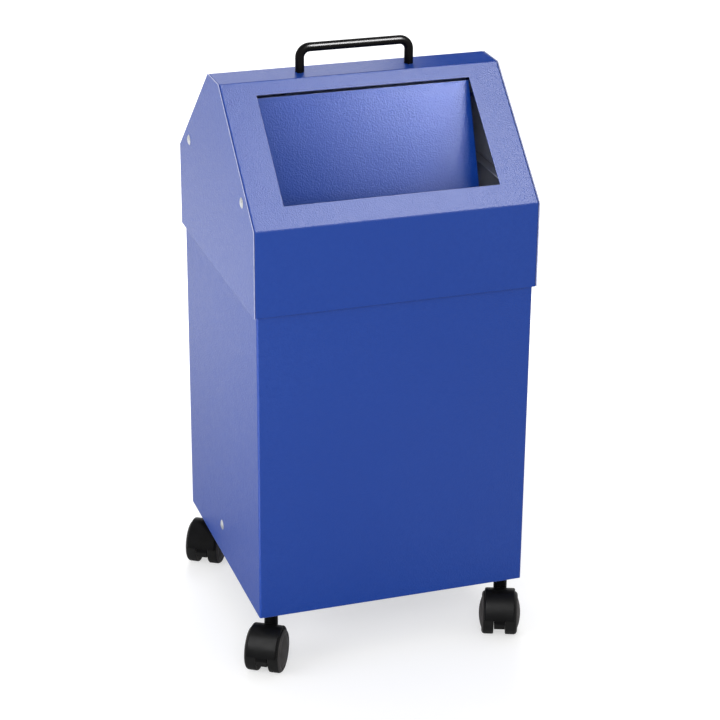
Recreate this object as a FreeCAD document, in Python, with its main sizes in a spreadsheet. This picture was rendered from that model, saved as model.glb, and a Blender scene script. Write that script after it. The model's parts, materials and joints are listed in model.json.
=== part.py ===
import FreeCAD, Part
import math
import os
import Sketcher

# Wheeled sheet-steel recycling bin with a lift-off hood, a push-in flap and four twin-wheel castors.
# Frame: origin on the floor under the middle of the bin, front towards -Y, up is +Z, millimetres.

# Driving sizes in millimetres: every number here can be changed by itself.
SIZES = {
    # hood
    "hood_width": 320,
    "hood_depth": 311,
    "hood_gauge": 1.0,
    "skirt_height": 96.5,
    "roof_rise": 120.5,
    "roof_depth": 43,
    "bend_radius": 2.5,
    "side_flange": 24,
    "flange_bend": 2.0,
    "mouth_side": 39,
    "mouth_head": 17.2,
    "mouth_margin": 27,
    # body
    "hood_overhang": 3.5,
    "body_gauge": 1.0,
    "body_show": 363,
    "corner_radius": 2.5,
    "rim_width": 12,
    "seat_gap": 0.3,
    # base
    "base_gauge": 1.5,
    "base_recess": 1.0,
    "base_flange": 52,
    "base_fit": 0.1,
    "castor_inset": 18,
    "plate_size": 48,
    "plate_gauge": 2.5,
    "plate_edge": 3.5,
    "plate_clip": 14,
    # rivets
    "rivet_head": 12,
    "rivet_crown": 1.8,
    "rivet_shank": 4.8,
    "rivet_grip": 3.5,
    "hole_play": 0.1,
    "hood_rivet_rise": 18,
    "hood_rivet_reach": 44,
    "base_rivet_rise": 38,
    "base_rivet_shift": 8,
    # flap and hinge
    "flap_gauge": 1.0,
    "flap_overlap": 2.5,
    "flap_lip": 3.2,
    "flap_top": 5.6,
    "flap_hem": 9,
    "flap_bend": 1.5,
    "cheek_depth": 12,
    "hinge_depth": 15,
    "hinge_drop": 1.8,
    "pivot_setback": 5,
    "rod_diameter": 6,
    "running_gap": 0.05,
    "bush_wall": 1.5,
    "bush_rim": 2,
    "bush_flange": 1.5,
    "end_play": 0.5,
    "weight_diameter": 14,
    "weight_reach": 35,
    "weight_drop": 9,
    "spigot_diameter": 6,
    "lobe_margin": 3,
    "bracket_gauge": 2,
    "bracket_foot": 22,
    "bracket_above": 9,
    "bracket_below": 17,
    "bracket_round": 8,
    "cap_diameter": 11,
    "cap_height": 3,
    # carry handle
    "handle_span": 125,
    "handle_bar": 10,
    "handle_rise": 32,
    "handle_bend": 11,
    "screw_diameter": 5,
    "screw_depth": 10,
    "screw_head": 8.5,
    "screw_head_height": 3.3,
    "washer_diameter": 12,
    "washer_gauge": 1.0,
    # castors
    "castor_height": 67,
    "wheel_diameter": 50,
    "wheel_gap": 13.6,
    "wheel_span": 48,
    "wheel_dome": 3.4,
    "dome_lip": 4.8,
    "dome_step": 0.8,
    "tread_round": 4,
    "inner_round": 1.2,
    "axle_diameter": 6,
    "axle_cover": 4,
    "trail": 20,
    "web_play": 0.6,
    "web_drop": 12,
    "web_foot": 8,
    "fairing_gap": 1.2,
    "fairing_wall": 2.3,
    "fairing_width": 35,
    "fairing_round": 2,
    "neck_diameter": 15.5,
    "pin_diameter": 8,
    "pin_length": 34,
    "collar_diameter": 18,
    "collar_height": 3,
    "thread_diameter": 10,
    "thread_spare": 2,
    "nut_across": 17,
    "nut_height": 8,
}

# Driving angles in degrees: how the flap hangs, where the castor hoods and webs end above or below
# the axle, and how the castors are turned.
ANGLES = {
    "flap_open": 27.5,
    "fairing_front": 8,
    "fairing_back": 20,
    "web_front": 22,
    "turn_front_left": 239,
    "turn_front_right": 249,
    "turn_back_left": 240,
    "turn_back_right": 60,
}

# Worked-out lines and places, from the driving sizes.
LAYOUT = {
    "foot": "Sizes.castor_height - Sizes.base_recess",
    "hood_foot": "Layout.foot + Sizes.body_show",
    "bend_line": "Layout.hood_foot + Sizes.skirt_height",
    "roof": "Layout.bend_line + Sizes.roof_rise",
    "slope_run": "(Sizes.hood_depth - Sizes.roof_depth) / 2",
    "slope": "atan(Sizes.roof_rise / Layout.slope_run) / 1 deg",
    "slope_length": "sqrt(Layout.slope_run ^ 2 + Sizes.roof_rise ^ 2)",
    "cover_width": "Sizes.hood_width - 2 * Sizes.hood_gauge",
    "body_width": "Sizes.hood_width - 2 * Sizes.hood_overhang",
    "body_depth": "Sizes.hood_depth - 2 * Sizes.hood_overhang",
    "seat_drop": "(Sizes.hood_gauge + Sizes.seat_gap + Sizes.corner_radius) / cos(Layout.slope)",
    "seat_in": "Sizes.hood_overhang + Sizes.corner_radius",
    "rim": "Layout.bend_line + Layout.seat_in * tan(Layout.slope) - Layout.seat_drop + Sizes.corner_radius",
    "base_width": "Layout.body_width - 2 * (Sizes.body_gauge + Sizes.base_fit)",
    "base_depth": "Layout.body_depth - 2 * (Sizes.body_gauge + Sizes.base_fit)",
    "base_round": "Sizes.corner_radius + Sizes.base_gauge",
    "stem_x": "Layout.body_width / 2 - Sizes.castor_inset",
    "stem_y": "Layout.body_depth / 2 - Sizes.castor_inset",
    "mouth_width": "Sizes.hood_width - 2 * Sizes.mouth_side",
    "mouth_top": "Layout.slope_length - Sizes.mouth_head",
    "mouth_length": "Layout.mouth_top - Sizes.mouth_margin",
    "hinge_rise": "Layout.mouth_top - Sizes.hinge_drop",
    "pivot_y": "-Sizes.hood_depth / 2 + Layout.hinge_rise * cos(Layout.slope)"
               " + Sizes.hinge_depth * sin(Layout.slope)",
    "pivot_z": "Layout.bend_line + Layout.hinge_rise * sin(Layout.slope)"
               " - Sizes.hinge_depth * cos(Layout.slope)",
    "flap_tilt": "Layout.slope + Angles.flap_open - 90",
    "flap_width": "Layout.mouth_width + 2 * Sizes.flap_overlap",
    "flap_length": "Layout.mouth_length + Sizes.flap_lip",
    "rod_bore": "Sizes.rod_diameter / 2 + Sizes.running_gap",
    "bush_radius": "Layout.rod_bore + Sizes.bush_wall",
    "ear": "Layout.flap_width / 2 + Sizes.bush_flange + Sizes.end_play",
    "rod_half": "Layout.ear + Sizes.bracket_gauge + Sizes.cap_height",
    "handle_axis": "Sizes.handle_rise - Sizes.handle_bar / 2",
    "wheel_radius": "Sizes.wheel_diameter / 2",
    "well_radius": "Layout.wheel_radius + Sizes.fairing_gap",
    "fairing_radius": "Layout.well_radius + Sizes.fairing_wall",
    "web_width": "Sizes.wheel_gap - 2 * Sizes.web_play",
    "axle_half": "Sizes.wheel_span / 2 - Sizes.axle_cover - Sizes.running_gap",
    "neck_top": "Sizes.castor_height - Sizes.collar_height - Sizes.end_play",
    "nut_seat": "Sizes.castor_height + Sizes.base_gauge + Sizes.plate_gauge",
}

# Corner name: side of the bin in X and Y, and the turn that brings a plate's corner there.
CORNERS = {
    "front_left": (-1, -1, 0),
    "front_right": (1, -1, 90),
    "back_right": (1, 1, 180),
    "back_left": (-1, 1, 270),
}

SIDES = {"left": -1, "right": 1}

doc = FreeCAD.newDocument("recycling_bin")
nodes = []


def make_sheet(name, cells):
    """Spreadsheet with one alias per row."""
    sheet = doc.addObject("Spreadsheet::Sheet", name)
    for row, (alias, content) in enumerate(cells.items(), start=1):
        sheet.set("A%d" % row, alias)
        sheet.set("B%d" % row, content)
        sheet.setAlias("B%d" % row, alias)
    return sheet


for title, numbers in (("Sizes", SIZES), ("Angles", ANGLES)):
    make_sheet(title, {alias: str(value) for alias, value in numbers.items()})
layout = make_sheet("Layout", {alias: "=" + formula for alias, formula in LAYOUT.items()})
doc.recompute()


def number(expression):
    """Present value of an expression."""
    return float(layout.evalExpression(expression))


def place(item, x="0", y="0", z="0", axis=(0, 0, 1), turn="0"):
    """Bind an object's place and its turn about an axis."""
    item.Placement = FreeCAD.Placement(FreeCAD.Vector(), FreeCAD.Rotation(FreeCAD.Vector(*axis), 1))
    item.setExpression("Placement.Base.x", x)
    item.setExpression("Placement.Base.y", y)
    item.setExpression("Placement.Base.z", z)
    item.setExpression("Placement.Rotation.Angle", turn)


def new_body(label, **where):
    """Empty body at its place."""
    body = doc.addObject("PartDesign::Body", label)
    body.Label = label
    place(body, **where)
    return body


def keep(item):
    """List an object as a node of the bin."""
    nodes.append(item)
    return item


def settle(feature):
    """Recompute and stop at a feature that failed."""
    doc.recompute()
    if not feature.isValid() or feature.Shape.isNull():
        raise RuntimeError("%s: %s" % (feature.Name, feature.getStatusString()))
    return feature


def sketch_on(body, plane, lift="0", tilt=None, shift="0"):
    """Sketch on an origin plane, lifted along its normal, or shifted and tilted about its own X."""
    sketch = body.newObject("Sketcher::SketchObject", body.Name + "_outline")
    support = next(item for item in body.Origin.OriginFeatures if item.Role == plane)
    sketch.AttachmentSupport = [(support, "")]
    sketch.MapMode = "FlatFace"
    sketch.setExpression("AttachmentOffset.Base.z", lift)
    if tilt:
        sketch.AttachmentOffset = FreeCAD.Placement(
            FreeCAD.Vector(), FreeCAD.Rotation(FreeCAD.Vector(1, 0, 0), 1))
        sketch.setExpression("AttachmentOffset.Base.y", shift)
        sketch.setExpression("AttachmentOffset.Rotation.Angle", tilt)
    return sketch


def tie(sketch, kind, geometry, point, expression):
    """Bind one coordinate of a sketch point, measured from the sketch's origin."""
    rule = Sketcher.Constraint(kind, -1, 1, geometry, point, number(expression))
    index = sketch.addConstraint(rule)
    sketch.setExpression("Constraints[%d]" % index, expression)


def arc_between(start, end, centre_x=None, centre_y=None):
    """Shorter arc between two points, its centre known in one coordinate; True if it runs forwards."""
    chord = end - start
    half = (end.dot(end) - start.dot(start)) / 2
    if centre_y is None:
        centre = FreeCAD.Vector(centre_x, (half - centre_x * chord.x) / chord.y)
    else:
        centre = FreeCAD.Vector((half - centre_y * chord.y) / chord.x, centre_y)
    first = math.atan2(start.y - centre.y, start.x - centre.x)
    last = math.atan2(end.y - centre.y, end.x - centre.x)
    forwards = (last - first) % (2 * math.pi) < math.pi
    ends = (first, last) if forwards else (last, first)
    circle = Part.Circle(centre, FreeCAD.Vector(0, 0, 1), (start - centre).Length)
    return Part.ArcOfCircle(circle, *ends), forwards


def outline(sketch, corners, arcs=None, closed=True):
    """Line through corners given as expressions; arcs maps a segment to its centre's known coordinate."""
    arcs = arcs or {}
    points = [FreeCAD.Vector(number(x), number(y)) for x, y in corners]
    count = len(points) if closed else len(points) - 1
    tips = []
    for step in range(count):
        start = points[step]
        end = points[(step + 1) % len(points)]
        if step in arcs:
            coordinate, expression = arcs[step]
            arc, forwards = arc_between(start, end, **{coordinate: number(expression)})
            index = sketch.addGeometry(arc)
            tips.append((index, 1, 2) if forwards else (index, 2, 1))
        else:
            index = sketch.addGeometry(Part.LineSegment(start, end))
            tips.append((index, 1, 2))
    for step in range(count if closed else count - 1):
        index, _, last = tips[step]
        follower, first, _ = tips[(step + 1) % count]
        sketch.addConstraint(Sketcher.Constraint("Coincident", index, last, follower, first))
    for step, (x, y) in enumerate(corners):
        index, point = (tips[step][0], tips[step][1]) if step < count else (tips[-1][0], tips[-1][2])
        tie(sketch, "DistanceX", index, point, x)
        tie(sketch, "DistanceY", index, point, y)
    for step, (coordinate, expression) in arcs.items():
        kind = "DistanceX" if coordinate == "centre_x" else "DistanceY"
        tie(sketch, kind, tips[step][0], 3, expression)


def rectangle(sketch, left, low, right, high):
    """Four-sided outline from its edges."""
    outline(sketch, [(left, low), (right, low), (right, high), (left, high)])


def centred_rectangle(sketch, width, depth):
    """Four-sided outline about the sketch's origin."""
    half_width = "(%s) / 2" % width
    half_depth = "(%s) / 2" % depth
    rectangle(sketch, "-" + half_width, "-" + half_depth, half_width, half_depth)


def circle(sketch, x, y, radius):
    """Circle with its centre and radius bound."""
    centre = FreeCAD.Vector(number(x), number(y))
    index = sketch.addGeometry(Part.Circle(centre, FreeCAD.Vector(0, 0, 1), number(radius)))
    tie(sketch, "DistanceX", index, 3, x)
    tie(sketch, "DistanceY", index, 3, y)
    rule = sketch.addConstraint(Sketcher.Constraint("Radius", index, number(radius)))
    sketch.setExpression("Constraints[%d]" % rule, radius)


def grow(body, kind, sketch, length, both=False, back=False):
    """Pad or Pocket of a sketch."""
    feature = body.newObject("PartDesign::" + kind, body.Name + "_" + kind.lower())
    feature.Profile = sketch
    feature.SideType = "Symmetric" if both else "One side"
    feature.Reversed = back
    feature.setExpression("Length", length)
    return settle(feature)


def pad(body, sketch, length, **options):
    """Solid grown from a sketch."""
    return grow(body, "Pad", sketch, length, **options)


def pocket(body, sketch, length, **options):
    """Cut grown from a sketch; it has to take material away."""
    before = body.Shape.Volume
    feature = grow(body, "Pocket", sketch, length, **options)
    if not body.Shape.Volume < before:
        raise RuntimeError(feature.Name + " cuts nothing")
    return feature


def revolve(body, sketch):
    """Solid turned about the sketch's horizontal axis."""
    feature = body.newObject("PartDesign::Revolution", body.Name + "_turned")
    feature.Profile = sketch
    feature.ReferenceAxis = (sketch, ["H_Axis"])
    feature.Angle = 360
    return settle(feature)


def edges_of(body, chosen):
    """Names of the edges whose middle point and direction pass a test."""
    names = []
    for index, edge in enumerate(body.Tip.Shape.Edges, start=1):
        if edge.Degenerated:
            continue
        middle = edge.valueAt((edge.FirstParameter + edge.LastParameter) / 2)
        along = edge.tangentAt((edge.FirstParameter + edge.LastParameter) / 2)
        if chosen(edge, middle, along):
            names.append("Edge%d" % index)
    return names


def fillet(body, radius, chosen):
    """Round the chosen edges."""
    base = body.Tip
    names = edges_of(body, chosen)
    feature = body.newObject("PartDesign::Fillet", body.Name + "_round")
    feature.Base = (base, names)
    feature.setExpression("Radius", radius)
    return settle(feature)


def hollow(body, wall, chosen):
    """Shell of one wall thickness, open at the chosen faces."""
    base = body.Tip
    names = ["Face%d" % index for index, face in enumerate(base.Shape.Faces, start=1) if chosen(face)]
    feature = body.newObject("PartDesign::Thickness", body.Name + "_shell")
    feature.Base = (base, names)
    feature.Reversed = True
    feature.Mode = 0
    feature.Join = 1
    feature.setExpression("Value", wall)
    return settle(feature)


def mirror(body, feature, plane):
    """Repeat a feature on the other side of an origin plane."""
    mirrored = body.newObject("PartDesign::Mirrored", body.Name + "_mirrored")
    mirrored.Originals = [feature]
    support = next(item for item in body.Origin.OriginFeatures if item.Role == plane)
    mirrored.MirrorPlane = (support, [""])
    body.Tip = mirrored
    return settle(mirrored)


def group(label, members):
    """One node that holds several like pieces as separate solids."""
    item = doc.addObject("Part::Compound", label)
    item.Label = label
    item.Links = members
    return keep(item)


def facing(x, y, z):
    """Test for flat faces with a given outward normal."""
    normal = FreeCAD.Vector(x, y, z)
    return lambda face: face.normalAt(0, 0).isEqual(normal, 1e-6)


def hood_profile():
    """Side outline of the hood, from the front foot round to the back foot."""
    front = "-Sizes.hood_depth / 2"
    back = "Sizes.hood_depth / 2"
    return [
        (front, "Layout.hood_foot"),
        (back, "Layout.hood_foot"),
        (back, "Layout.bend_line"),
        ("Sizes.roof_depth / 2", "Layout.roof"),
        ("-Sizes.roof_depth / 2", "Layout.roof"),
        (front, "Layout.bend_line"),
    ]


def flange_window():
    """The side outline drawn in by the flange width and open at the foot."""
    side = "Sizes.hood_depth / 2 - Sizes.side_flange"
    shoulder = "Layout.bend_line - Sizes.side_flange * tan((90 - Layout.slope) / 2)"
    ridge = "Sizes.roof_depth / 2 - Sizes.side_flange * tan(Layout.slope / 2)"
    low = "Layout.hood_foot - Sizes.hood_gauge"
    high = "Layout.roof - Sizes.side_flange"
    return [
        ("-(%s)" % side, low),
        (side, low),
        (side, shoulder),
        (ridge, high),
        ("-(%s)" % ridge, high),
        ("-(%s)" % side, shoulder),
    ]


def rivet_holes(body, spots, width):
    """Rivet holes across the bin at (y, z) places."""
    sketch = sketch_on(body, "YZ_Plane")
    for y, z in spots:
        circle(sketch, y, z, "Sizes.rivet_shank / 2 + Sizes.hole_play")
    pocket(body, sketch, width, both=True)


def hood_rivet_spots():
    """Places of the rivets in one gable."""
    height = "Layout.bend_line + Sizes.hood_rivet_rise"
    reach = "(Sizes.hood_depth / 2 - Sizes.hood_rivet_reach)"
    return [(reach, height), ("-" + reach, height)]


BASE_RIVET_SPOT = ("Sizes.base_rivet_shift", "Layout.foot + Sizes.base_rivet_rise")


def hood_cover():
    """Folded sheet: skirts, slopes and roof, side flanges and the slanted mouth."""
    body = new_body("hood_cover")
    sketch = sketch_on(body, "YZ_Plane")
    outline(sketch, hood_profile())
    pad(body, sketch, "Layout.cover_width", both=True)
    foot = number("Layout.hood_foot")
    fillet(body, "Sizes.bend_radius",
           lambda edge, middle, direction: abs(direction.x) > 0.999 and middle.z > foot + 1)
    end = number("Layout.cover_width / 2")
    fillet(body, "Sizes.flange_bend",
           lambda edge, middle, direction: abs(abs(middle.x) - end) < 1e-3 and middle.z > foot + 1)
    hollow(body, "Sizes.hood_gauge", facing(0, 0, -1))
    window = sketch_on(body, "YZ_Plane")
    outline(window, flange_window())
    pocket(body, window, "Sizes.hood_width", both=True)
    mouth = sketch_on(body, "XY_Plane", lift="Layout.bend_line", tilt="Layout.slope",
                      shift="-Sizes.hood_depth / 2")
    rectangle(mouth, "-Layout.mouth_width / 2", "Sizes.mouth_margin",
              "Layout.mouth_width / 2", "Layout.mouth_top")
    pocket(body, mouth, "4 * Sizes.hood_gauge", both=True)
    rivet_holes(body, hood_rivet_spots(), "Sizes.hood_width")
    screws = sketch_on(body, "XY_Plane", lift="Layout.roof")
    for side in SIDES.values():
        circle(screws, "%d * Sizes.handle_span / 2" % side, "0", "Sizes.screw_diameter / 2 + Sizes.hole_play")
    pocket(body, screws, "4 * Sizes.hood_gauge", both=True)
    return keep(body)


def hood_gable(side):
    """Side plate of the hood, its edge flush with the folded sheet."""
    sign = SIDES[side]
    body = new_body("hood_gable_" + side)
    lift = "%d * Layout.cover_width / 2" % sign
    sketch = sketch_on(body, "YZ_Plane", lift=lift)
    outline(sketch, hood_profile())
    pad(body, sketch, "Sizes.hood_gauge", back=sign < 0)
    foot = number("Layout.hood_foot")
    fillet(body, "Sizes.bend_radius",
           lambda edge, middle, direction: abs(direction.x) > 0.999 and middle.z > foot + 1)
    rivet_holes(body, hood_rivet_spots(), "2 * Sizes.hood_width")
    return keep(body)


def rivet(label, side, face, y, z):
    """Blind rivet with a low crowned head, its shank pointing into the bin."""
    sign = SIDES[side]
    body = new_body(label, x="%d * (%s)" % (sign, face), y=y, z=z, turn="%d" % (0 if sign > 0 else 180))
    sketch = sketch_on(body, "XZ_Plane")
    outline(sketch, [
        ("-Sizes.rivet_grip", "0"),
        ("Sizes.rivet_crown", "0"),
        ("0", "Sizes.rivet_head / 2"),
        ("0", "Sizes.rivet_shank / 2"),
        ("-Sizes.rivet_grip", "Sizes.rivet_shank / 2"),
    ], arcs={1: ("centre_y", "0")})
    revolve(body, sketch)
    return body


def rivets():
    """Four rivets in the gables and two low in the body."""
    hood = []
    base = []
    for side in SIDES:
        for end, (y, z) in zip(("back", "front"), hood_rivet_spots()):
            hood.append(rivet("hood_rivet_%s_%s" % (side, end), side, "Sizes.hood_width / 2", y, z))
        base.append(rivet("base_rivet_" + side, side, "Layout.body_width / 2", *BASE_RIVET_SPOT))
    group("hood_rivets", hood)
    group("base_rivets", base)


def body_shell():
    """Bent box with a folded rim; the hood's slopes rest on the rim's front and back bends."""
    body = new_body("body_shell")
    sketch = sketch_on(body, "XY_Plane", lift="Layout.foot")
    centred_rectangle(sketch, "Layout.body_width", "Layout.body_depth")
    pad(body, sketch, "Layout.rim - Layout.foot")
    rim = number("Layout.rim")
    fillet(body, "Sizes.corner_radius",
           lambda edge, middle, direction: abs(direction.z) > 0.999 or middle.z > rim - 1e-3)
    hollow(body, "Sizes.body_gauge", facing(0, 0, -1))
    mouth = sketch_on(body, "XY_Plane", lift="Layout.rim")
    inset = "2 * (Sizes.body_gauge + Sizes.rim_width)"
    centred_rectangle(mouth, "Layout.body_width - " + inset, "Layout.body_depth - " + inset)
    pocket(body, mouth, "2 * Sizes.body_gauge")
    rivet_holes(body, [BASE_RIVET_SPOT], "Sizes.hood_width")
    return keep(body)


def base_tray():
    """Bottom with upturned sides inside the foot of the body."""
    body = new_body("base_tray")
    sketch = sketch_on(body, "XY_Plane", lift="Sizes.castor_height")
    centred_rectangle(sketch, "Layout.base_width", "Layout.base_depth")
    pad(body, sketch, "Sizes.base_flange")
    floor = number("Sizes.castor_height")
    fillet(body, "Layout.base_round",
           lambda edge, middle, direction: abs(direction.z) > 0.999 or middle.z < floor + 1e-3)
    hollow(body, "Sizes.base_gauge", facing(0, 0, 1))
    holes = sketch_on(body, "XY_Plane", lift="Sizes.castor_height")
    for x, y, _ in CORNERS.values():
        circle(holes, "%d * Layout.stem_x" % x, "%d * Layout.stem_y" % y,
               "Sizes.thread_diameter / 2 + Sizes.hole_play")
    pocket(body, holes, "4 * Sizes.base_gauge", both=True)
    rivet_holes(body, [BASE_RIVET_SPOT], "Sizes.hood_width")
    return keep(body)


def stem_place(corner, **extra):
    """Place on a castor's stem axis."""
    x, y, _ = CORNERS[corner]
    return dict(x="%d * Layout.stem_x" % x, y="%d * Layout.stem_y" % y, **extra)


def corner_plate(corner):
    """Square stiffener over a castor hole with its inner corner cut off."""
    turn = CORNERS[corner][2]
    body = new_body("corner_plate_" + corner,
                    **stem_place(corner, z="Sizes.castor_height + Sizes.base_gauge", turn="%d" % turn))
    sketch = sketch_on(body, "XY_Plane")
    low = "Sizes.body_gauge + Sizes.base_fit + Sizes.base_gauge + Sizes.plate_edge - Sizes.castor_inset"
    high = "%s + Sizes.plate_size" % low
    clipped = "%s - Sizes.plate_clip" % high
    outline(sketch, [(low, low), (high, low), (high, clipped), (clipped, high), (low, high)])
    circle(sketch, "0", "0", "Sizes.thread_diameter / 2 + Sizes.hole_play")
    pad(body, sketch, "Sizes.plate_gauge")
    return keep(body)


def castor_nuts():
    """Hexagon nut on each castor stud."""
    nuts = []
    for corner in CORNERS:
        blank = doc.addObject("Part::Prism", "nut_blank_" + corner)
        blank.Polygon = 6
        blank.setExpression("Circumradius", "Sizes.nut_across / 2 / cos(30)")
        blank.setExpression("Height", "Sizes.nut_height")
        bore = doc.addObject("Part::Cylinder", "nut_bore_" + corner)
        bore.setExpression("Radius", "Sizes.thread_diameter / 2 + Sizes.hole_play")
        bore.setExpression("Height", "Sizes.nut_height")
        nut = doc.addObject("Part::Cut", "nut_" + corner)
        nut.Base = blank
        nut.Tool = bore
        place(nut, **stem_place(corner, z="Layout.nut_seat"))
        nuts.append(nut)
    group("castor_nuts", nuts)


def turned_upright(label, corner, profile):
    """Solid turned about a castor's stem axis from (height, radius) corners."""
    body = new_body(label, **stem_place(corner, axis=(0, 1, 0), turn="-90"))
    sketch = sketch_on(body, "XY_Plane")
    outline(sketch, profile)
    revolve(body, sketch)
    return body


def castor_stem(corner):
    """Stud, collar and swivel pin in one."""
    seat = "Sizes.castor_height"
    shoulder = "Sizes.castor_height - Sizes.collar_height"
    top = "Layout.nut_seat + Sizes.nut_height + Sizes.thread_spare"
    foot = "Layout.neck_top - Sizes.pin_length"
    body = turned_upright("castor_stem_" + corner, corner, [
        (foot, "0"),
        (top, "0"),
        (top, "Sizes.thread_diameter / 2"),
        (seat, "Sizes.thread_diameter / 2"),
        (seat, "Sizes.collar_diameter / 2"),
        (shoulder, "Sizes.collar_diameter / 2"),
        (shoulder, "Sizes.pin_diameter / 2"),
        (foot, "Sizes.pin_diameter / 2"),
    ])
    return keep(body)


def round_axle(radius, angle):
    """Point at a radius and an angle about a castor's axle, in the castor's side view."""
    return (
        "Sizes.trail + %s * cos(%s)" % (radius, angle),
        "Layout.wheel_radius + %s * sin(%s)" % (radius, angle),
    )


def castor_housing(corner):
    """Moulded castor body: a hood over the treads, a neck, and a web between the wheels."""
    body = new_body("castor_housing_" + corner, **stem_place(corner, turn="Angles.turn_" + corner))
    axle = "Layout.wheel_radius"
    side = sketch_on(body, "XZ_Plane")
    outline(side, [
        round_axle("Layout.fairing_radius", "Angles.fairing_front"),
        round_axle("Layout.fairing_radius", "90"),
        round_axle("Layout.fairing_radius", "180 - Angles.fairing_back"),
    ], arcs={0: ("centre_y", axle), 1: ("centre_y", axle)})
    pad(body, side, "Sizes.fairing_width", both=True)
    half = number("Sizes.fairing_width / 2")
    fillet(body, "Sizes.fairing_round",
           lambda edge, middle, direction: edge.Curve.TypeId == "Part::GeomCircle"
           and abs(abs(middle.y) - half) < 1e-3)
    neck = sketch_on(body, "XY_Plane", lift=axle)
    circle(neck, "0", "0", "Sizes.neck_diameter / 2")
    pad(body, neck, "Layout.neck_top - " + axle)
    for sign in SIDES.values():
        well = sketch_on(body, "XZ_Plane", lift="%d * Layout.web_width / 2" % sign)
        circle(well, "Sizes.trail", axle, "Layout.well_radius")
        pocket(body, well, "Sizes.fairing_width", back=sign > 0)
    web = sketch_on(body, "XZ_Plane")
    foot = axle + " - Sizes.web_drop"
    outline(web, [
        round_axle(axle, "-Angles.web_front"),
        round_axle(axle, "90"),
        round_axle(axle, "180 - Angles.fairing_back"),
        ("Sizes.trail - Sizes.web_foot", foot),
        ("Sizes.trail + Sizes.web_foot", foot),
    ], arcs={0: ("centre_y", axle), 1: ("centre_y", axle)})
    pad(body, web, "Layout.web_width", both=True)
    bore = sketch_on(body, "XZ_Plane")
    circle(bore, "Sizes.trail", axle, "Sizes.axle_diameter / 2 + Sizes.running_gap / 2")
    pocket(body, bore, "Sizes.fairing_width", both=True)
    socket = sketch_on(body, "XY_Plane", lift="Layout.neck_top")
    circle(socket, "0", "0", "Sizes.pin_diameter / 2 + Sizes.running_gap")
    pocket(body, socket, "Sizes.pin_length + Sizes.end_play")
    return keep(body)


def axle_place(corner):
    """Place and turn of a castor's axle centre."""
    x, y, _ = CORNERS[corner]
    turn = "Angles.turn_" + corner
    return dict(
        x="%d * Layout.stem_x + Sizes.trail * cos(%s)" % (x, turn),
        y="%d * Layout.stem_y + Sizes.trail * sin(%s)" % (y, turn),
        z="Layout.wheel_radius",
        turn=turn,
    )


def castor_axle(corner):
    """Round axle pressed through the web."""
    body = new_body("castor_axle_" + corner, **axle_place(corner))
    sketch = sketch_on(body, "XZ_Plane")
    circle(sketch, "0", "0", "Sizes.axle_diameter / 2")
    pad(body, sketch, "2 * Layout.axle_half", both=True)
    return keep(body)


def castor_wheel(corner, side):
    """Wheel with a crowned tread, a stepped lip and a domed outer disc over a blind bore."""
    sign = SIDES[side]
    body = new_body("castor_wheel_%s_%s" % (corner, side), **axle_place(corner))
    sketch = sketch_on(body, "YZ_Plane")
    bore = "Sizes.axle_diameter / 2 + Sizes.running_gap"
    inner = "Sizes.wheel_gap / 2"
    crown = "Sizes.wheel_span / 2"
    rim = "%s - Sizes.wheel_dome" % crown
    blind = "%s - Sizes.axle_cover" % crown
    lip = "Layout.wheel_radius - Sizes.dome_lip"
    profile = [
        (inner, bore),
        (blind, bore),
        (blind, "0"),
        (crown, "0"),
        ("%s - Sizes.dome_step" % rim, lip),
        (rim, lip),
        (rim, "Layout.wheel_radius"),
        (inner, "Layout.wheel_radius"),
    ]
    outline(sketch, [("%d * (%s)" % (sign, reach), radius) for reach, radius in profile],
            arcs={3: ("centre_y", "0")})
    revolve(body, sketch)
    tread = number("Layout.wheel_radius")
    inner_face = number(inner)
    fillet(body, "Sizes.tread_round",
           lambda edge, middle, direction: abs(math.hypot(middle.x, middle.z) - tread) < 1e-3
           and abs(middle.y) - inner_face > 1e-3)
    fillet(body, "Sizes.inner_round",
           lambda edge, middle, direction: abs(math.hypot(middle.x, middle.z) - tread) < 1e-3
           and abs(middle.y) - inner_face < 1e-3)
    return keep(body)


def flap_body(label):
    """Body at the hinge axis, hanging as the flap hangs."""
    return new_body(label, y="Layout.pivot_y", z="Layout.pivot_z", axis=(1, 0, 0), turn="Layout.flap_tilt")


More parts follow.
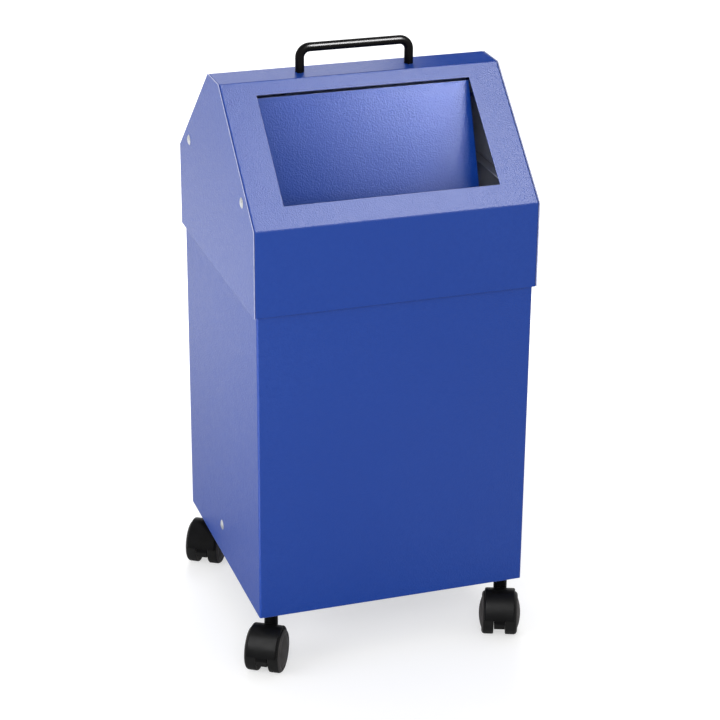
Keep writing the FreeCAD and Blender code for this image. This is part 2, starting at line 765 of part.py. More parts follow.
def flap_panel():
    """Push-in panel with two cheeks turned back, which carry the hinge and the counterweight."""
    body = flap_body("flap_panel")
    face = "-Sizes.pivot_setback"
    half = "Layout.flap_width / 2"
    foot = "-Layout.flap_length"
    sketch = sketch_on(body, "XZ_Plane", lift="Sizes.pivot_setback")
    rectangle(sketch, "-" + half, foot, half, "Sizes.flap_top")
    pad(body, sketch, "Sizes.flap_gauge", back=True)
    hem = sketch_on(body, "XZ_Plane", lift="Sizes.pivot_setback")
    rectangle(hem, "-%s + Sizes.cheek_depth" % half, foot,
              "%s - Sizes.cheek_depth" % half, "%s + Sizes.flap_hem" % foot)
    pad(body, hem, "2 * Sizes.flap_gauge", back=True)
    cheek = sketch_on(body, "YZ_Plane", lift=half)
    lobe = "(Sizes.weight_diameter / 2 + Sizes.lobe_margin)"
    back = "%s + Sizes.cheek_depth" % face
    crest = "Layout.bush_radius + Sizes.bush_rim"
    outline(cheek, [
        (face, "Sizes.flap_top"),
        ("%s + 2 * Sizes.flap_bend" % face, "Sizes.flap_top"),
        ("0", crest),
        ("Layout.bush_radius", crest),
        ("Sizes.weight_reach + " + lobe, "%s - Sizes.weight_drop" % lobe),
        ("Sizes.weight_reach + " + lobe, "-%s - Sizes.weight_drop" % lobe),
        ("Sizes.weight_reach - " + lobe, "-%s - Sizes.weight_drop" % lobe),
        (back, "-2 * %s - 2 * Sizes.weight_drop" % lobe),
        (back, "%s + Sizes.flap_hem" % foot),
        ("%s + 2 * Sizes.flap_bend" % face, foot),
        (face, foot),
    ])
    wing = pad(body, cheek, "Sizes.flap_gauge", back=True)
    mirror(body, wing, "YZ_Plane")
    front = number(face)
    width = number(half)
    fillet(body, "Sizes.flap_bend",
           lambda edge, middle, direction: abs(direction.z) > 0.999
           and abs(middle.y - front) < 1e-3 and abs(abs(middle.x) - width) < 1e-3)
    bores = sketch_on(body, "YZ_Plane")
    circle(bores, "0", "0", "Layout.bush_radius + Sizes.hole_play")
    circle(bores, "Sizes.weight_reach", "-Sizes.weight_drop", "Sizes.spigot_diameter / 2 + Sizes.hole_play")
    pocket(body, bores, "2 * Layout.flap_width", both=True)
    return keep(body)


def flap_counterweight():
    """Round bar between the cheeks, with a spigot through each."""
    body = flap_body("flap_counterweight")
    for radius, length in (
            ("Sizes.weight_diameter / 2", "Layout.flap_width - 2 * Sizes.flap_gauge"),
            ("Sizes.spigot_diameter / 2", "Layout.flap_width + Sizes.flap_gauge")):
        sketch = sketch_on(body, "YZ_Plane")
        circle(sketch, "Sizes.weight_reach", "-Sizes.weight_drop", radius)
        pad(body, sketch, length, both=True)
    return keep(body)


def flap_bush(side):
    """Flanged bush in a cheek; the hinge rod runs through it."""
    sign = SIDES[side]
    body = flap_body("flap_bush_" + side)
    sketch = sketch_on(body, "XZ_Plane")
    face = "Layout.flap_width / 2"
    inner = face + " - Sizes.flap_gauge"
    outer = face + " + Sizes.bush_flange"
    brim = "Layout.bush_radius + Sizes.bush_rim"
    profile = [
        (inner, "Layout.rod_bore"),
        (outer, "Layout.rod_bore"),
        (outer, brim),
        (face, brim),
        (face, "Layout.bush_radius"),
        (inner, "Layout.bush_radius"),
    ]
    outline(sketch, [("%d * (%s)" % (sign, reach), radius) for reach, radius in profile])
    revolve(body, sketch)
    return body


def hinge_bracket(side):
    """Bent bracket: a foot on the inside of the slope and an ear that holds the rod."""
    sign = SIDES[side]
    body = new_body("hinge_bracket_" + side, y="Layout.pivot_y", z="Layout.pivot_z",
                    axis=(1, 0, 0), turn="Layout.slope")
    seat = "Sizes.hinge_depth - Sizes.hood_gauge"
    foot = sketch_on(body, "XY_Plane", lift=seat)
    ends = ["%d * Layout.ear" % sign, "%d * (Layout.ear + Sizes.bracket_foot)" % sign]
    rectangle(foot, ends[0], "-Sizes.bracket_below", ends[1], "Sizes.bracket_above")
    pad(body, foot, "Sizes.bracket_gauge", back=True)
    ear = sketch_on(body, "YZ_Plane", lift="%d * Layout.ear" % sign)
    outline(ear, [
        ("-Sizes.bracket_below", seat),
        ("-Sizes.bracket_round", "0"),
        ("0", "-Sizes.bracket_round"),
        ("Sizes.bracket_round", "0"),
        ("Sizes.bracket_above", seat),
    ], arcs={1: ("centre_y", "0"), 2: ("centre_y", "0")})
    circle(ear, "0", "0", "Sizes.rod_diameter / 2 + Sizes.hole_play")
    pad(body, ear, "Sizes.bracket_gauge", back=sign < 0)
    return keep(body)


def hinge_rod():
    """Rod across the hood behind the mouth's upper edge."""
    body = new_body("hinge_rod", y="Layout.pivot_y", z="Layout.pivot_z")
    sketch = sketch_on(body, "YZ_Plane")
    circle(sketch, "0", "0", "Sizes.rod_diameter / 2")
    pad(body, sketch, "2 * Layout.rod_half", both=True)
    return keep(body)


def hinge_rod_cap(side):
    """Push-on cap that keeps the rod in its bracket."""
    sign = SIDES[side]
    body = new_body("hinge_rod_cap_" + side, y="Layout.pivot_y", z="Layout.pivot_z")
    sketch = sketch_on(body, "YZ_Plane", lift="%d * (Layout.ear + Sizes.bracket_gauge)" % sign)
    circle(sketch, "0", "0", "Sizes.cap_diameter / 2")
    circle(sketch, "0", "0", "Sizes.rod_diameter / 2 + Sizes.hole_play")
    pad(body, sketch, "Sizes.cap_height", back=sign < 0)
    return body


def carry_handle():
    """Bow of round bar, tapped from below in both legs."""
    body = new_body("carry_handle", z="Layout.roof")
    half = "Sizes.handle_span / 2"
    top = "Layout.handle_axis"
    path = sketch_on(body, "XZ_Plane")
    outline(path, [
        ("-" + half, "0"),
        ("-" + half, "%s - Sizes.handle_bend" % top),
        ("-%s + Sizes.handle_bend" % half, top),
        ("%s - Sizes.handle_bend" % half, top),
        (half, "%s - Sizes.handle_bend" % top),
        (half, "0"),
    ], arcs={1: ("centre_y", "%s - Sizes.handle_bend" % top),
             3: ("centre_y", "%s - Sizes.handle_bend" % top)}, closed=False)
    section = sketch_on(body, "XY_Plane")
    circle(section, "-" + half, "0", "Sizes.handle_bar / 2")
    bow = body.newObject("PartDesign::AdditivePipe", "carry_handle_bow")
    bow.Profile = section
    bow.Spine = path
    settle(bow)
    taps = sketch_on(body, "XY_Plane")
    for sign in SIDES.values():
        circle(taps, "%d * %s" % (sign, half), "0", "Sizes.screw_diameter / 2 + Sizes.hole_play")
    pocket(body, taps, "Sizes.screw_depth + Sizes.end_play", back=True)
    return keep(body)


def handle_screw(side):
    """Screw with a low cylinder head, up through washer and roof into the handle."""
    seat = "-(Sizes.hood_gauge + Sizes.washer_gauge)"
    head = "%s - Sizes.screw_head_height" % seat
    body = new_body("handle_screw_" + side, x="%d * Sizes.handle_span / 2" % SIDES[side], z="Layout.roof",
                    axis=(0, 1, 0), turn="-90")
    sketch = sketch_on(body, "XY_Plane")
    outline(sketch, [
        (head, "0"),
        ("Sizes.screw_depth", "0"),
        ("Sizes.screw_depth", "Sizes.screw_diameter / 2"),
        (seat, "Sizes.screw_diameter / 2"),
        (seat, "Sizes.screw_head / 2"),
        (head, "Sizes.screw_head / 2"),
    ])
    revolve(body, sketch)
    return body


def handle_washer(side):
    """Flat washer under the roof."""
    body = new_body("handle_washer_" + side, x="%d * Sizes.handle_span / 2" % SIDES[side], z="Layout.roof")
    sketch = sketch_on(body, "XY_Plane", lift="-Sizes.hood_gauge")
    circle(sketch, "0", "0", "Sizes.washer_diameter / 2")
    circle(sketch, "0", "0", "Sizes.screw_diameter / 2 + Sizes.hole_play")
    pad(body, sketch, "Sizes.washer_gauge", back=True)
    return body


def build():
    """Every piece of the bin."""
    body_shell()
    base_tray()
    hood_cover()
    rivets()
    carry_handle()
    flap_panel()
    flap_counterweight()
    hinge_rod()
    castor_nuts()
    for side in SIDES:
        hood_gable(side)
        hinge_bracket(side)
    group("flap_bushes", [flap_bush(side) for side in SIDES])
    group("hinge_rod_caps", [hinge_rod_cap(side) for side in SIDES])
    group("handle_screws", [handle_screw(side) for side in SIDES])
    group("handle_washers", [handle_washer(side) for side in SIDES])
    for corner in CORNERS:
        corner_plate(corner)
        castor_stem(corner)
        castor_housing(corner)
        castor_axle(corner)
        for side in SIDES:
            castor_wheel(corner, side)


def check():
    """Stop if any object failed or any node has no sound shape."""
    doc.recompute()
    failed = [item.Name for item in doc.Objects if {"Invalid", "Error"} & set(item.State)]
    unsound = [item.Label for item in nodes if item.Shape.isNull() or not item.Shape.isValid()]
    if failed or unsound:
        raise RuntimeError("failed objects %s, unsound nodes %s" % (failed, unsound))


build()
check()
os.makedirs("parts", exist_ok=True)
for node in nodes:
    node.Shape.exportStep("parts/%s.step" % node.Label)
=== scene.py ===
"""Looks of the wheeled recycling bin: materials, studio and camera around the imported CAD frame.

Lengths are in metres, colours are linear, and noise scales are in cells per metre.
"""

import json
import math

import bpy
from mathutils import Matrix, Vector

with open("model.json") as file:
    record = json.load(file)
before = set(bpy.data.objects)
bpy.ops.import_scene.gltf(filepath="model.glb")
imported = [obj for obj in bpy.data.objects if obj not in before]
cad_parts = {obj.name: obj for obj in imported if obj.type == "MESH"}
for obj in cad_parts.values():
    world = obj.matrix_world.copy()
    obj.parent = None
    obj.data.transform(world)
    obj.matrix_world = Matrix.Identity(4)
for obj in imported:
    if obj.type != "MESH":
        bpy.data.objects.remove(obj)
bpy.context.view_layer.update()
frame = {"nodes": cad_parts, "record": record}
nodes = frame["nodes"]
record = frame["record"]
scene = bpy.context.scene

GABLES = ["hood_gable_left", "hood_gable_right"]
CASTOR_CORNERS = ["front_left", "front_right", "back_left", "back_right"]
FRONT_CASTORS = ["castor_housing_front_left", "castor_housing_front_right"]
WHITE = (1.0, 1.0, 1.0, 1.0)


# Building blocks of the materials


class Shader:
    """A material that is built node by node around one Principled shader."""

    def __init__(self, name):
        self.material = bpy.data.materials.new(name)
        self.material.use_nodes = True
        self.tree = self.material.node_tree
        self.tree.nodes.clear()
        self.output = self.add("ShaderNodeOutputMaterial")
        self.surface = self.add("ShaderNodeBsdfPrincipled")
        self.link(self.surface.outputs["BSDF"], self.output.inputs["Surface"])
        self.place = self.add("ShaderNodeTexCoord").outputs["Object"]
        self.normal = None

    def add(self, kind, values=None, **settings):
        node = self.tree.nodes.new(kind)
        for key, value in settings.items():
            setattr(node, key, value)
        for key, value in (values or {}).items():
            node.inputs[key].default_value = value
        return node

    def link(self, source, target):
        self.tree.links.new(source, target)

    def set(self, **values):
        """Sets constants on the shader's own sockets."""
        for key, value in values.items():
            self.surface.inputs[key.replace("_", " ")].default_value = value

    def colour(self, socket):
        self.link(socket, self.surface.inputs["Base Color"])

    def roughness(self, socket):
        self.link(socket, self.surface.inputs["Roughness"])

    def noise(self, cells, detail=2.0, roughness=0.5, squeeze=None):
        """Solid noise in object space, squeezed along an axis for a drawn grain."""
        place = self.place
        if squeeze:
            stretch = self.add("ShaderNodeMapping", {"Scale": squeeze})
            self.link(place, stretch.inputs["Vector"])
            place = stretch.outputs["Vector"]
        node = self.add("ShaderNodeTexNoise", {"Scale": cells, "Detail": detail, "Roughness": roughness})
        self.link(place, node.inputs["Vector"])
        return node.outputs["Fac"]

    def ranged(self, source, low=0.0, high=1.0, start=0.3, stop=0.7):
        """Maps start to stop, by default the middle of a noise, to low to high."""
        limits = {"From Min": start, "From Max": stop, "To Min": low, "To Max": high}
        node = self.add("ShaderNodeMapRange", limits)
        self.link(source, node.inputs["Value"])
        return node.outputs["Result"]

    def times(self, first, second):
        node = self.add("ShaderNodeMath", operation="MULTIPLY")
        self.link(first, node.inputs[0])
        self.link(second, node.inputs[1])
        return node.outputs[0]

    def colours(self, factor, first, second):
        """Blends two colours, or two colour sockets, by a factor."""
        node = self.add("ShaderNodeMix", data_type="RGBA")
        self.link(factor, node.inputs["Factor"])
        for key, value in (("A", first), ("B", second)):
            socket = next(s for s in node.inputs if s.name == key and s.type == "RGBA")
            if isinstance(value, tuple):
                socket.default_value = (*value, 1.0)
            else:
                self.link(value, socket)
        return next(s for s in node.outputs if s.type == "RGBA")

    def mottled(self, first, second, cells, detail=3.0):
        """A colour that wanders between two tones."""
        return self.colours(self.ranged(self.noise(cells, detail)), first, second)

    def uneven(self, smooth, rough, cells, detail=3.0, roughness=0.5):
        """Makes the shader's roughness wander between two levels."""
        self.roughness(self.ranged(self.noise(cells, detail, roughness), smooth, rough))

    def edges(self, radius, sharp, flat):
        """A mask that is 1 along convex and concave edges and 0 on flats."""
        rounded = self.add("ShaderNodeBevel", {"Radius": radius}, samples=6)
        plain = self.add("ShaderNodeNewGeometry")
        dot = self.add("ShaderNodeVectorMath", operation="DOT_PRODUCT")
        self.link(rounded.outputs["Normal"], dot.inputs[0])
        self.link(plain.outputs["Normal"], dot.inputs[1])
        return self.ranged(dot.outputs["Value"], 1.0, 0.0, sharp, flat)

    def round_edges(self, radius):
        """Shades edges as if they were softly rounded. It comes before any bump."""
        rounded = self.add("ShaderNodeBevel", {"Radius": radius}, samples=4)
        self.bend(rounded.outputs["Normal"])

    def bump(self, height, depth, strength):
        """Lays one more layer of bump on the surface."""
        layer = self.add("ShaderNodeBump", {"Strength": strength, "Distance": depth})
        self.link(height, layer.inputs["Height"])
        if self.normal:
            self.link(self.normal, layer.inputs["Normal"])
        self.bend(layer.outputs["Normal"])

    def bend(self, normal):
        self.normal = normal
        self.link(normal, self.surface.inputs["Normal"])


def any_ray(tree, path, *kinds):
    """1 for a ray of any of the given kinds of a Light Path node, and 0 for others."""
    ray = path.outputs[kinds[0]]
    for kind in kinds[1:]:
        either = tree.nodes.new("ShaderNodeMath")
        either.operation = "MAXIMUM"
        tree.links.new(ray, either.inputs[0])
        tree.links.new(path.outputs[kind], either.inputs[1])
        ray = either.outputs[0]
    return ray


# Materials of the bin

COAT_GLOSS = 0.3


def powder_coat(name, peel_cells, peel_depth, edge_wear_and_highlight=None):
    """Blue powder coat on sheet steel: orange peel and a slow drift of colour.

    Given a pale edge colour, it is also blended to that colour in patches along its edges: partly scuffed
    coat, partly a painted highlight along the edges.
    """
    s = Shader(name)
    s.set(Specular_IOR_Level=COAT_GLOSS)
    deep_blue, light_blue = (0.003, 0.041, 0.282), (0.006, 0.048, 0.302)
    drift = s.ranged(s.noise(5.0, detail=3.0))
    grain = s.ranged(s.noise(260.0))
    blue = s.colours(s.times(drift, grain), deep_blue, light_blue)
    # Pale patches along the edges: scuffed coat, and also a painted highlight along folds and cut edges.
    if edge_wear_and_highlight:
        edges = s.edges(radius=0.0009, sharp=0.72, flat=0.97)
        patches = s.noise(90.0, detail=4.0, roughness=0.6)
        wear_and_highlight = s.times(edges, s.ranged(patches, low=0.45, high=0.90, start=0.35))
        blue = s.colours(wear_and_highlight, blue, edge_wear_and_highlight)
    s.colour(blue)
    s.uneven(0.31, 0.35, cells=150.0)
    peel = s.noise(peel_cells, detail=1.5, roughness=0.45)
    pores = s.noise(1900.0, roughness=0.6)
    s.round_edges(0.0007)
    s.bump(peel, peel_depth, strength=0.85)
    s.bump(pores, depth=0.00008, strength=0.5)
    return s.material


def edge_highlight_coat():
    """The blue coat in a pale tone along the cut edge of a sheet: a painted highlight on that edge."""
    s = Shader("blue_coat_edge_highlight")
    s.set(Specular_IOR_Level=COAT_GLOSS)
    # Pale tones that paint a highlight along the cut edge.
    s.colour(s.mottled((0.40, 0.43, 0.66), (0.52, 0.55, 0.78), cells=180.0))
    s.uneven(0.33, 0.40, cells=150.0)
    s.round_edges(0.0004)
    s.bump(s.noise(900.0), depth=0.0001, strength=0.5)
    return s.material


def inside_coat(name, dark, light):
    """Thin grey primer with a dull mottle."""
    s = Shader(name)
    s.set(Specular_IOR_Level=0.25)
    s.colour(s.mottled(dark, light, cells=14.0, detail=4.0))
    s.uneven(0.55, 0.72, cells=60.0)
    s.bump(s.noise(520.0), depth=0.0003, strength=0.5)
    return s.material


def gloss_black():
    """Stoved black lacquer on round bar, with faint handling marks along it."""
    s = Shader("handle_black")
    s.set(Specular_IOR_Level=0.06)
    s.colour(s.mottled((0.0015, 0.0012, 0.0012), (0.003, 0.0026, 0.0026), cells=40.0))
    marks = s.noise(120.0, detail=5.0, roughness=0.65, squeeze=(0.25, 1.0, 1.0))
    s.roughness(s.ranged(marks, 0.24, 0.30))
    s.round_edges(0.0004)
    s.bump(s.noise(620.0), depth=0.0001, strength=0.3)
    return s.material


def moulded(name, dark, worn_and_highlight, rough, gloss):
    """Moulded black plastic: spark-eroded grain, patchy tone and pale scuffed edges; on the wheels the
    pale edges are also a painted highlight along the disc rims.
    """
    s = Shader(name)
    s.set(Specular_IOR_Level=gloss)
    light = tuple(1.5 * channel for channel in dark)
    body = s.mottled(dark, light, cells=70.0, detail=4.0)
    edges = s.edges(radius=0.0010, sharp=0.75, flat=0.98)
    patches = s.noise(210.0, detail=4.0, roughness=0.6)
    # Pale edge patches: scuffing, and on the wheels a painted rim highlight.
    wear_and_highlight = s.times(edges, s.ranged(patches, low=0.25, high=0.85, start=0.42))
    s.colour(s.colours(wear_and_highlight, body, worn_and_highlight))
    s.uneven(rough - 0.06, rough + 0.08, cells=110.0, detail=4.0, roughness=0.6)
    s.round_edges(0.0005)
    s.bump(s.noise(2100.0, roughness=0.6), depth=0.00008, strength=0.35)
    return s.material


def metal(name, dark, bright, rough, brush):
    """Bare or plated metal with a drawn grain."""
    s = Shader(name)
    s.set(Metallic=1.0)
    streaks = s.noise(900.0, detail=3.0, roughness=0.6, squeeze=brush)
    s.colour(s.colours(s.ranged(streaks), dark, bright))
    s.uneven(rough - 0.06, rough + 0.10, cells=240.0)
    s.round_edges(0.0003)
    s.bump(streaks, depth=0.00003, strength=0.3)
    return s.material


def nylon():
    """Black nylon with a faint moulded grain."""
    s = Shader("bush_nylon")
    s.set(Specular_IOR_Level=0.35)
    s.colour(s.mottled((0.010, 0.010, 0.011), (0.020, 0.020, 0.021), cells=80.0))
    s.uneven(0.38, 0.50, cells=150.0)
    s.round_edges(0.0004)
    s.bump(s.noise(1400.0), depth=0.00006, strength=0.3)
    return s.material


finishes = {
    # Its pale edge colour is partly scuffing and partly a painted highlight along the edges.
    "blue_coat": powder_coat("blue_coat", 700.0, 0.00036, edge_wear_and_highlight=(0.50, 0.54, 0.78)),
    "rivet_alloy": metal(
        "rivet_alloy", (0.46, 0.47, 0.49), (0.66, 0.67, 0.69), rough=0.30, brush=(1.0, 0.3, 1.0)
    ),
    "handle_black": gloss_black(),
    "castor_body": moulded(
        "castor_body", (0.003, 0.003, 0.0032), worn_and_highlight=(0.020, 0.020, 0.021), rough=0.36, gloss=0.08
    ),
    # The wheels' pale edge colour is mostly a painted highlight along the disc rims.
    "castor_wheel": moulded(
        "castor_wheel", (0.042, 0.039, 0.038), worn_and_highlight=(0.300, 0.290, 0.280), rough=0.42, gloss=0.12
    ),
    "bush_nylon": nylon(),
    "zinc_steel": metal(
        "zinc_steel", (0.42, 0.43, 0.44), (0.62, 0.63, 0.63), rough=0.32, brush=(0.2, 1.0, 1.0)
    ),
}
# A pale edge colour: partly scuffing, partly a painted highlight along folds and cut edges.
faint_wear_and_highlight = (0.36, 0.41, 0.66)
heavy_coat = powder_coat("blue_coat_heavy", 480.0, 0.00050, faint_wear_and_highlight)
skirt_coat = powder_coat("blue_coat_skirt", 700.0, 0.00036)
flap_coat = powder_coat("blue_coat_flap", 600.0, 0.00046, faint_wear_and_highlight)
# A pale coat that paints a highlight along the gables' cut edges.
painted_edge_highlight = edge_highlight_coat()
primer = inside_coat("grey_primer", (0.50, 0.53, 0.64), (0.57, 0.60, 0.72))
# A darker grey that paints the shade on the rim deep inside the body.
rim_painted_shade = inside_coat("grey_rim_painted_shade", (0.22, 0.23, 0.28), (0.27, 0.28, 0.33))
# Darker than the wheels' discs: partly the treads' own tone, partly painted shade in the gap under each
# castor hood.
tread = moulded("castor_tread", (0.008, 0.008, 0.008), worn_and_highlight=(0.040, 0.039, 0.038), rough=0.50, gloss=0.12)


# Which piece, and which of its faces, has which material

own_coats = {
    "flap_panel": flap_coat,
    "hood_gable_left": heavy_coat,
    "hood_gable_right": heavy_coat,
    "body_shell": heavy_coat,
}
for entry in record["subparts"]:
    materials = nodes[entry["node"]].data.materials
    materials.clear()
    materials.append(own_coats.get(entry["node"], finishes[entry["material_slot"]]))


def paint_faces(node, material, chosen):
    """Gives a node one more material, on the faces for which chosen(face) is true."""
    mesh = nodes[node].data
    mesh.materials.append(material)
    for face in mesh.polygons:
        if chosen(face):
            face.material_index = len(mesh.materials) - 1


def looks_at(face, middle):
    """Whether a face looks towards a point, so that it is on the inside of a sheet around it."""
    least_cosine = 0.45
    inward = (middle - face.center).normalized()
    return face.normal.dot(inward) > least_cosine


def paint_hood():
    """Primer inside, a coat without pale edges (no scuffing, no painted edge highlight) on the cover's
    upright skirts, and a painted highlight on the gables' cut edges.
    """
    middle = Vector((0.0, 0.0, 0.53))
    side_on, upright, edge_on = 0.5, 0.95, 0.3

    def inside(face):
        return looks_at(face, middle)

    def inside_cover(face):
        return inside(face) and abs(face.normal.x) <= side_on

    def on_skirt(face):
        return face.material_index == 0 and abs(face.normal.y) > upright

    def on_cut_edge(face):
        return abs(face.normal.x) < edge_on

    paint_faces("hood_cover", primer, inside_cover)
    paint_faces("hood_cover", skirt_coat, on_skirt)
    for gable in GABLES:
        paint_faces(gable, primer, inside)
        # Painted highlight along the gables' cut edges.
        paint_faces(gable, painted_edge_highlight, on_cut_edge)


def paint_body():
    """Primer inside, and a darker grey on top of the folded rim that paints the shade deep inside the
    body.
    """
    rim_above, upwards = 0.5, 0.5

    def inside(face):
        return looks_at(face, Vector((0.0, 0.0, face.center.z)))

    def on_rim(face):
        return face.center.z > rim_above and face.normal.z > upwards

    paint_faces("body_shell", primer, inside)
    # Painted shade on top of the rim.
    paint_faces("body_shell", rim_painted_shade, on_rim)


def paint_castors():
    """The dull tread material, on the wheels' treads and low on the web between them; darker than the
    discs, partly as painted shade under the castor hoods.
    """
    low_height, most_along_axle = 0.0225, 0.6

    def low_on_web(face):
        return face.center.z < low_height

    for corner in CASTOR_CORNERS:
        paint_faces("castor_housing_" + corner, tread, low_on_web)
    for joint in record["behaviour"]["joints"]:
        if joint["name"].startswith("wheel_spin"):
            wheel = joint["name"].replace("wheel_spin", "castor_wheel")
            axle = Vector(joint["axis"])
            paint_faces(wheel, tread, lambda face: abs(face.normal.dot(axle)) < most_along_axle)


paint_hood()
paint_body()
paint_castors()


# Studio


def floor_pale(seen, mirrored, albedo):
    """A pale floor that takes the bin's shadow and still comes out near white.

    It glows for the camera (seen) and for reflections (mirrored). Each is a pair of levels, one close to
    the bin and one away from it.
    """
    close, away = 0.3, 1.0
    s = Shader("floor_pale")
    s.set(Specular_IOR_Level=0.0)
    tone = (albedo, albedo, albedo)
    s.colour(s.mottled(tone, tuple(1.02 * channel for channel in tone), cells=3.0))
    s.uneven(0.85, 0.95, cells=20.0)
    distance = s.add("ShaderNodeVectorMath", operation="LENGTH")
    s.link(s.place, distance.inputs[0])
    path = s.add("ShaderNodeLightPath")
    reflected = any_ray(s.tree, path, "Is Glossy Ray", "Is Transmission Ray")
    level = s.add("ShaderNodeMath", operation="ADD")
    for slot, (ray, levels) in enumerate(((path.outputs["Is Camera Ray"], seen), (reflected, mirrored))):
        fade = s.ranged(distance.outputs["Value"], *levels, close, away)
        s.link(s.times(ray, fade), level.inputs[slot])
    glow = s.add("ShaderNodeEmission", {"Color": WHITE})
    s.link(level.outputs[0], glow.inputs["Strength"])
    both = s.add("ShaderNodeAddShader")
    s.link(s.surface.outputs["BSDF"], both.inputs[0])
    s.link(glow.outputs["Emission"], both.inputs[1])
    s.link(both.outputs["Shader"], s.output.inputs["Surface"])
    return s.material


def flat_card(name, corners, material):
    """A flat four-cornered piece of the studio."""
    mesh = bpy.data.meshes.new(name)
    mesh.from_pydata(corners, [], [(0, 1, 2, 3)])
    mesh.materials.append(material)
    card = bpy.data.objects.new(name, mesh)
    scene.collection.objects.link(card)
    return card


def make_floor():
    """A floor that reaches far past the camera's view."""
    reach = 9.0
    corners = [(-reach, -reach, 0.0), (reach, -reach, 0.0), (reach, reach, 0.0), (-reach, reach, 0.0)]
    floor = flat_card("floor", corners, floor_pale(seen=(0.55, 0.92), mirrored=(0.03, 0.70), albedo=0.52))


def make_flag():
    """A black card behind the bin that only reflections see.

    It keeps the right end of the roof deep in colour.
    """
    left, right, depth, low, high = 0.18, 0.70, 0.35, 0.67, 1.30
    s = Shader("flag_black")
    s.set(Specular_IOR_Level=0.0)
    s.colour(s.colours(s.noise(8.0), (0.004, 0.004, 0.004), (0.006, 0.006, 0.006)))
    corners = [(left, depth, low), (right, depth, low), (right, depth, high), (left, depth, high)]
    flag = flat_card("flag", corners, s.material)
    flag.visible_camera = False
    flag.visible_diffuse = False
    flag.visible_shadow = False


def make_world(ambient):
    """White to the camera and in reflections, with a softer level for the light that it gives."""
    world = bpy.data.worlds.new("studio")
    scene.world = world
    world.use_nodes = True
    tree = world.node_tree
    tree.nodes.clear()
    output = tree.nodes.new("ShaderNodeOutputWorld")
    light = tree.nodes.new("ShaderNodeBackground")
    light.inputs["Color"].default_value = WHITE
    path = tree.nodes.new("ShaderNodeLightPath")
    level = tree.nodes.new("ShaderNodeMapRange")
    level.inputs["To Min"].default_value = ambient
    level.inputs["To Max"].default_value = 1.0
    looking = any_ray(tree, path, "Is Camera Ray", "Is Glossy Ray", "Is Transmission Ray")
    tree.links.new(looking, level.inputs["Value"])
    tree.links.new(level.outputs["Result"], light.inputs["Strength"])
    tree.links.new(light.outputs["Background"], output.inputs["Surface"])


def softbox(name, place, aim, size, radiance, diffuse=True, glossy=True, only=(), spread=180.0):
    """An area lamp with the given radiance straight ahead, where 1 is white.

    It may light only some nodes, and a spread under 180 degrees is a grid that narrows its beam.
    """
    lamp = bpy.data.lights.new(name, "AREA")
    lamp.shape = "RECTANGLE"
    lamp.size, lamp.size_y = size
    lamp.energy = radiance * lamp.size * lamp.size_y * math.pi
    if spread < 180.0:
        half = math.radians(spread) / 2
        lamp.spread = 2 * half
        lamp.energy *= 1 - half / math.tan(half)
    holder = bpy.data.objects.new(name, lamp)
    holder.location = place
    holder.rotation_mode = "QUATERNION"
    holder.rotation_quaternion = (Vector(aim) - Vector(place)).to_track_quat("-Z", "Y")
    holder.visible_camera = False
    holder.visible_diffuse = diffuse
    holder.visible_glossy = glossy
    scene.collection.objects.link(holder)
    if only:
        lit = bpy.data.collections.new(name + "_lights")
        for node in only:
            lit.objects.link(nodes[node])
        holder.light_linking.receiver_collection = lit


def fill(name, place, aim, size, radiance, only=()):
    """A square lamp that lights surfaces but does not show in them."""
    softbox(name, place, aim, (size, size), radiance, glossy=False, only=only)


def gloss(name, place, aim, size, radiance, only, spread=180.0):
    """A lamp that shows only as a reflection, in the nodes it is meant for."""
    softbox(name, place, aim, size, radiance, diffuse=False, only=only, spread=spread)


def floor_gloss(name, spot, size, radiance, only):
    """A gloss lamp that lies on the floor and points straight up."""
    height, above = 0.012, 1.0
    gloss(name, (*spot, height), (*spot, above), size, radiance, only)


def light_all():
    """Soft light from all sides, and more for the flap in its recess and for the plain right side."""
    slope, trunk, foot, hood = (0.0, -0.09, 0.58), (0.0, 0.0, 0.40), (0.0, 0.0, 0.30), (0.0, 0.0, 0.60)
    flap, right_side = (0.0, -0.05, 0.56), (0.16, 0.0, 0.42)
    fill("fill_overhead", (0.46, -0.58, 2.05), slope, size=0.75, radiance=0.3)
    fill("fill_front", (-0.6, -2.2, 1.5), trunk, size=1.2, radiance=4.8)
    fill("fill_left", (-2.1, -0.6, 0.7), foot, size=1.6, radiance=4.2)
    right_nodes = ["body_shell", "hood_gable_right"]
    fill("fill_right", (1.65, 0.0, 0.45), right_side, size=0.6, radiance=6.0, only=right_nodes)
    fill("fill_back", (0.4, 1.6, 1.9), hood, size=1.2, radiance=6.5)
    fill("fill_flap", (0.95, -1.05, 0.85), flap, size=0.4, radiance=10.5, only=["flap_panel"])


def light_hood_gloss():
    """Sheen on the front slope, the roof and the fold between the slope and the front skirt."""
    slope, roof, fold = (0.0, -0.09, 0.58), (0.0, 0.0, 0.646), (0.0, -0.15, 0.53)
    cover = ["hood_cover"]
    gloss("gloss_top", (0.545, -0.62, 2.05), slope, (0.98, 0.95), radiance=15.3, only=cover)
    gloss("gloss_roof", (0.05, 1.04, 1.13), roof, (0.95, 0.60), radiance=0.9, only=cover)
    gloss("gloss_fold", (0.45, -1.50, 0.975), fold, (0.60, 0.50), radiance=6.0, only=cover)


def light_flap_gloss():
    """Sheen that is brightest at the flap's upper right, and fades to the left and downwards."""
    upper_right, middle, upper_left = (0.163, 0.023, 0.668), (0.05, -0.05, 0.57), (-0.10, -0.020, 0.700)
    flap = ["flap_panel"]
    gloss(
        "gloss_flap", (0.274, -0.605, 0.897), upper_right, (0.231, 0.166),
        radiance=105.0, only=flap, spread=38.0,
    )
    gloss(
        "gloss_flap_near", (0.262, -0.423, 0.843), middle, (0.150, 0.157),
        radiance=12.5, only=flap,
    )
    gloss(
        "gloss_flap_left", (0.055, -0.640, 0.985), upper_left, (0.18, 0.12),
        radiance=24.0, only=flap, spread=30.0,
    )


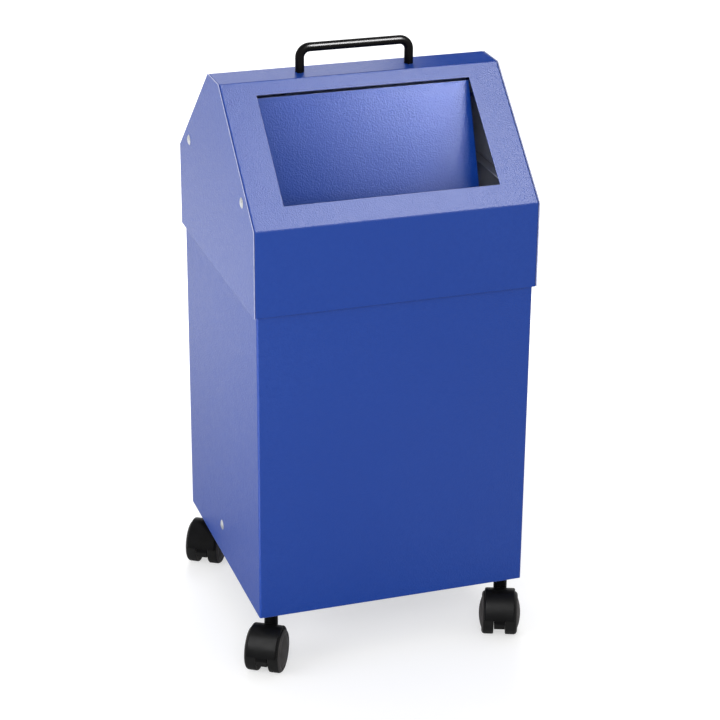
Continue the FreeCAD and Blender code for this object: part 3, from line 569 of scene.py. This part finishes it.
def light_side_gloss():
    """Sheen that comes up from the floor: on the left side, the left corner and the front."""
    floor_gloss("gloss_side", (-0.60, 1.00), (1.10, 1.10), radiance=0.2, only=["hood_gable_left"])
    corner_nodes = ["hood_gable_left", "hood_cover"]
    floor_gloss("gloss_hood_corner", (-0.90, -0.50), (0.60, 0.60), radiance=4.0, only=corner_nodes)
    floor_gloss("gloss_body_corner", (-0.75, -0.55), (0.80, 0.80), radiance=5.0, only=["body_shell"])
    floor_gloss("gloss_foot", (0.12, -0.50), (0.90, 0.50), radiance=0.45, only=["body_shell"])


def light_black_gloss():
    """Highlights on the handle's bar and on the hoods of the front castors."""
    bar, castors = (0.0, 0.0, 0.67), (0.0, -0.16, 0.04)
    gloss("gloss_bar", (0.46, -1.06, 1.78), bar, (0.50, 0.90), radiance=240.0, only=["carry_handle"])
    gloss("gloss_castors", (-0.62, -0.80, 1.10), castors, (1.00, 1.20), radiance=8.5, only=FRONT_CASTORS)


def make_camera():
    """The photograph's camera: it looks down at the bin from the front left, with a slight roll."""
    azimuth, elevation, roll = math.radians(-18.40), math.radians(23.48), math.radians(0.47)
    distance, focal_pixels, image_pixels = 2.580, 2251.0, 720.0
    target = Vector((0.0033, -0.0176, 0.3043))
    back = Vector((
        math.sin(azimuth) * math.cos(elevation),
        -math.cos(azimuth) * math.cos(elevation),
        math.sin(elevation),
    ))
    right = (-back).cross(Vector((0.0, 0.0, 1.0))).normalized()
    up = right.cross(-back)
    turned_right = math.cos(roll) * right + math.sin(roll) * up
    turned_up = math.cos(roll) * up - math.sin(roll) * right
    data = bpy.data.cameras.new("camera")
    data.sensor_width = 36.0
    data.lens = focal_pixels / image_pixels * data.sensor_width
    data.clip_start, data.clip_end = 0.05, 60.0
    camera = bpy.data.objects.new("camera", data)
    camera.rotation_mode = "QUATERNION"
    camera.location = target + back * distance
    camera.rotation_quaternion = Matrix((turned_right, turned_up, back)).transposed().to_quaternion()
    scene.collection.objects.link(camera)
    scene.camera = camera


make_floor()
make_flag()
make_world(ambient=0.60)
light_all()
light_hood_gloss()
light_flap_gloss()
light_side_gloss()
light_black_gloss()
make_camera()
scene.view_settings.view_transform = "Standard"
